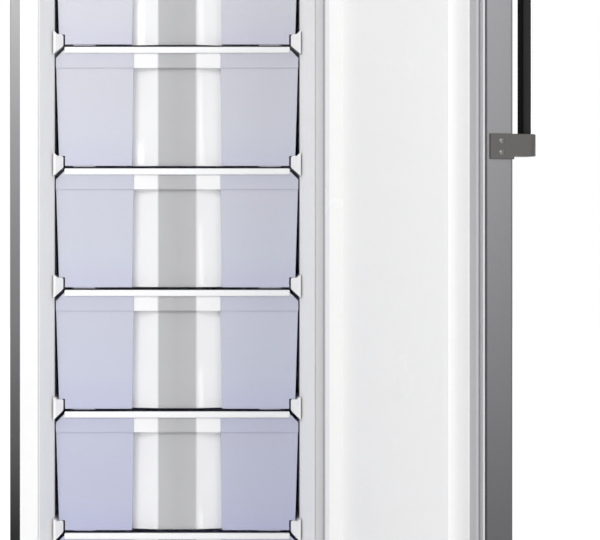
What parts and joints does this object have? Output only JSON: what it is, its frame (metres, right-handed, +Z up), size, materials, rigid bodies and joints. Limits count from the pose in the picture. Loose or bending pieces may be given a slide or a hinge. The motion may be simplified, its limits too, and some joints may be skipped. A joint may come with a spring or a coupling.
{
  "type": "laboratory freezer",
  "caption": "Upright laboratory freezer, steel cabinet with hinged foamed door and bar handle, white liner with runners and clear sliding drawers.",
  "frame": {"origin": "on the floor under the middle of the cabinet's footprint", "axes": "+Z up, -Y out of the front where the door and drawers are, +X towards the hinge side"},
  "size_m": [0.8388, 1.1485, 1.852],
  "materials": {
    "painted_steel": "satin silver-grey coating on steel sheet",
    "coated_steel": "zinc coated sheet",
    "white_liner": "glossy formed sheet",
    "foam": "rigid foam",
    "grey_plastic": "fine grain",
    "dark_window": "polished",
    "button_plastic": "satin",
    "foot_plastic": "satin",
    "bright_steel": "plated",
    "gasket_rubber": "soft grey",
    "handle_metal": "dark satin die-casting",
    "handle_black": "satin black",
    "handle_light": "satin",
    "black_enamel": "gloss enamel",
    "black_rubber": "matt",
    "black_plastic": "satin",
    "copper": "drawn copper",
    "frosted_plastic": "frosted translucent moulding",
    "clear_plastic": "clear glossy moulding"
  },
  "bodies": {
    "cabinet": {"side_panel_left": "painted_steel", "side_panel_right": "painted_steel", "top_panel": "painted_steel", "rear_panel": "coated_steel", "base_pan": "coated_steel", "base_frame": "coated_steel", "compressor_plate": "coated_steel", "inner_liner": "white_liner", "cabinet_insulation": "foam", "top_cover": "grey_plastic", "control_fascia": "grey_plastic", "plinth_grille": "grey_plastic", "display_window": "dark_window", "roller_axles": "bright_steel", "hinge_pin_lower": "bright_steel", "hinge_pin_upper": "bright_steel", "hinge_bracket_lower": "bright_steel", "hinge_bracket_upper": "bright_steel", "compressor": "black_enamel", "compressor_mounts": "black_rubber", "starter_box": "black_plastic", "filter_drier": "copper", "refrigerant_pipes": "copper", "power_inlet": "black_plastic"},
    "door": {"door_skin": "painted_steel", "door_liner": "white_liner", "door_cap_bottom": "grey_plastic", "door_cap_top": "grey_plastic", "door_insulation": "foam", "door_gasket": "gasket_rubber", "hinge_bush_lower": "foot_plastic", "hinge_bush_upper": "foot_plastic", "handle_bracket_lower": "handle_metal", "handle_bracket_upper": "handle_metal", "handle_grip": "handle_black", "handle_trim": "handle_light"},
    "drawer_1": {"drawer_bin_1": "frosted_plastic", "drawer_grip_1": "clear_plastic"},
    "drawer_2": {"drawer_bin_2": "frosted_plastic", "drawer_grip_2": "clear_plastic"},
    "drawer_3": {"drawer_bin_3": "frosted_plastic", "drawer_grip_3": "clear_plastic"},
    "drawer_4": {"drawer_bin_4": "frosted_plastic", "drawer_grip_4": "clear_plastic"},
    "drawer_5": {"drawer_bin_5": "frosted_plastic", "drawer_grip_5": "clear_plastic"},
    "drawer_6": {"drawer_bin_6": "frosted_plastic", "drawer_grip_6": "clear_plastic"},
    "drawer_7": {"drawer_bin_7": "frosted_plastic", "drawer_grip_7": "clear_plastic"},
    "foot_left": {"foot_left": "foot_plastic"},
    "foot_right": {"foot_right": "foot_plastic"},
    "roller_left": {"roller_left": "foot_plastic"},
    "roller_right": {"roller_right": "foot_plastic"},
    "power_button": {"power_button": "button_plastic"},
    "alarm_button": {"alarm_button": "button_plastic"},
    "fast_freeze_button": {"fast_freeze_button": "button_plastic"}
  },
  "joints": [
    {"name": "door_hinge", "type": "hinge", "parent": "cabinet", "child": "door", "pos_m": [0.285, -0.307, 0.058], "axis": [0, 0, 1], "range_deg": [-109, 6]},
    {"name": "drawer_1_slide", "type": "slide", "parent": "cabinet", "child": "drawer_1", "axis": [0, -1, 0], "range_m": [0, 0.18]},
    {"name": "drawer_2_slide", "type": "slide", "parent": "cabinet", "child": "drawer_2", "axis": [0, -1, 0], "range_m": [0, 0.3]},
    {"name": "drawer_3_slide", "type": "slide", "parent": "cabinet", "child": "drawer_3", "axis": [0, -1, 0], "range_m": [0, 0.3]},
    {"name": "drawer_4_slide", "type": "slide", "parent": "cabinet", "child": "drawer_4", "axis": [0, -1, 0], "range_m": [0, 0.3]},
    {"name": "drawer_5_slide", "type": "slide", "parent": "cabinet", "child": "drawer_5", "axis": [0, -1, 0], "range_m": [0, 0.3]},
    {"name": "drawer_6_slide", "type": "slide", "parent": "cabinet", "child": "drawer_6", "axis": [0, -1, 0], "range_m": [0, 0.3]},
    {"name": "drawer_7_slide", "type": "slide", "parent": "cabinet", "child": "drawer_7", "axis": [0, -1, 0], "range_m": [0, 0.3]},
    {"name": "foot_left_screw", "type": "hinge", "parent": "cabinet", "child": "foot_left", "pos_m": [-0.268, -0.25, 0], "axis": [0, 0, 1], "continuous": true},
    {"name": "foot_right_screw", "type": "hinge", "parent": "cabinet", "child": "foot_right", "pos_m": [0.268, -0.25, 0], "axis": [0, 0, 1], "continuous": true},
    {"name": "roller_left_spin", "type": "hinge", "parent": "cabinet", "child": "roller_left", "pos_m": [0, 0.248, 0.0115], "axis": [1, 0, 0], "continuous": true},
    {"name": "roller_right_spin", "type": "hinge", "parent": "cabinet", "child": "roller_right", "pos_m": [0, 0.248, 0.0115], "axis": [1, 0, 0], "continuous": true},
    {"name": "power_button_press", "type": "slide", "parent": "cabinet", "child": "power_button", "axis": [0, 1, 0], "range_m": [0, 0.0012], "stiffness_N_per_m": 400},
    {"name": "alarm_button_press", "type": "slide", "parent": "cabinet", "child": "alarm_button", "axis": [0, 1, 0], "range_m": [0, 0.0012], "stiffness_N_per_m": 400},
    {"name": "fast_freeze_button_press", "type": "slide", "parent": "cabinet", "child": "fast_freeze_button", "axis": [0, 1, 0], "range_m": [0, 0.0012], "stiffness_N_per_m": 400}
  ]
}
